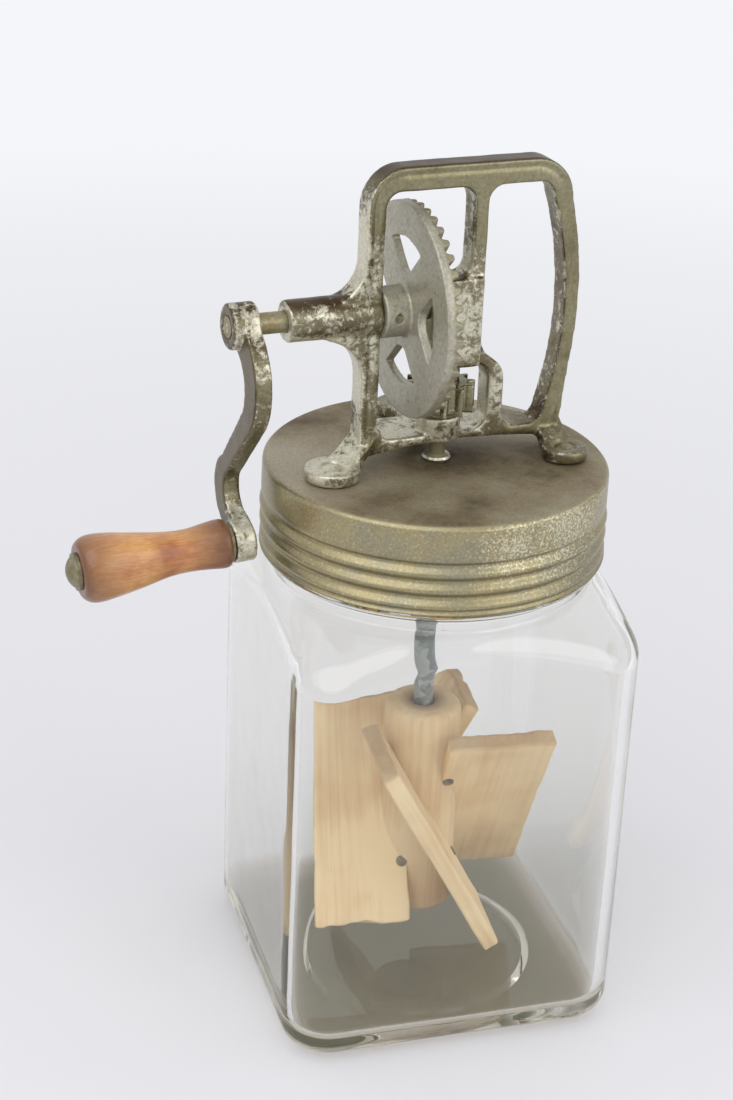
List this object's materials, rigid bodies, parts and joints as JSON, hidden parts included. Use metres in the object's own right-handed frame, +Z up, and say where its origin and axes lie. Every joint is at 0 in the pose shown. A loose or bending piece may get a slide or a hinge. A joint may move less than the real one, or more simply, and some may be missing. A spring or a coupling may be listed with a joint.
{
  "type": "butter churn",
  "caption": "Square glass jar with a screw lid, a cast frame with a hand opening, and a side crank geared to a wooden dasher inside the jar.",
  "frame": {"origin": "on the jar's upright axis, on the plane that the jar stands on", "axes": "+Z up; +X from the crank towards the hand opening, along the crank axis; +Y to the back"},
  "size_m": [0.2192, 0.1464, 0.3405],
  "materials": {
    "clear_glass": "clear pressed glass, slightly wavy",
    "plated_lid": "worn brassy plating on sheet steel, dulled and mottled",
    "nickel_iron": "cast iron with flaking nickel plate over dark olive brown",
    "gear_iron": "bare grey brown cast iron, matt",
    "shaft_steel": "tarnished steel bar, brownish",
    "zinc_rod": "galvanised steel rod, blue grey and mottled",
    "rivet_steel": "dark tarnished steel",
    "varnished_wood": "reddish varnished hardwood, worn",
    "bare_wood": "bare pale hardwood boards"
  },
  "bodies": {
    "jar": {"glass_jar": "clear_glass"},
    "lid": {"screw_lid": "plated_lid", "shaft_eyelet": "plated_lid", "frame_casting": "nickel_iron", "foot_rivets": "rivet_steel", "rivet_washers": "rivet_steel", "thrust_washer": "rivet_steel"},
    "crank": {"crank_shaft": "shaft_steel", "crank_arm": "nickel_iron", "crank_pin": "rivet_steel", "crown_gear": "gear_iron", "gear_pin": "rivet_steel", "grip_spindle": "shaft_steel", "grip_washer_inner": "rivet_steel", "grip_washer_outer": "rivet_steel"},
    "grip": {"wooden_grip": "varnished_wood"},
    "dasher": {"dasher_shaft": "zinc_rod", "pinion_gear": "gear_iron", "pinion_pin": "rivet_steel", "dasher_hub": "bare_wood", "dasher_pin": "zinc_rod", "dasher_nails": "rivet_steel", "blade_front": "bare_wood", "blade_right": "bare_wood", "blade_back": "bare_wood", "blade_left": "bare_wood"}
  },
  "joints": [
    {"name": "lid_lift", "type": "slide", "parent": "jar", "child": "lid", "axis": [0, 0, 1], "range_m": [0, 0.24]},
    {"name": "crank_turn", "type": "hinge", "parent": "lid", "child": "crank", "pos_m": [-0.05, 0, 0.2857], "axis": [1, 0, 0], "continuous": true},
    {"name": "grip_spin", "type": "hinge", "parent": "crank", "child": "grip", "pos_m": [-0.079, -0.001, 0.2019], "axis": [-0.9981, 0, -0.061], "continuous": true},
    {"name": "dasher_spin", "type": "hinge", "parent": "lid", "child": "dasher", "pos_m": [0, 0, 0.2259], "axis": [0, 0, 1], "continuous": true}
  ],
  "couplings": [
    {"joint": "dasher_spin", "follows": "crank_turn", "ratio": -3.3333}
  ]
}
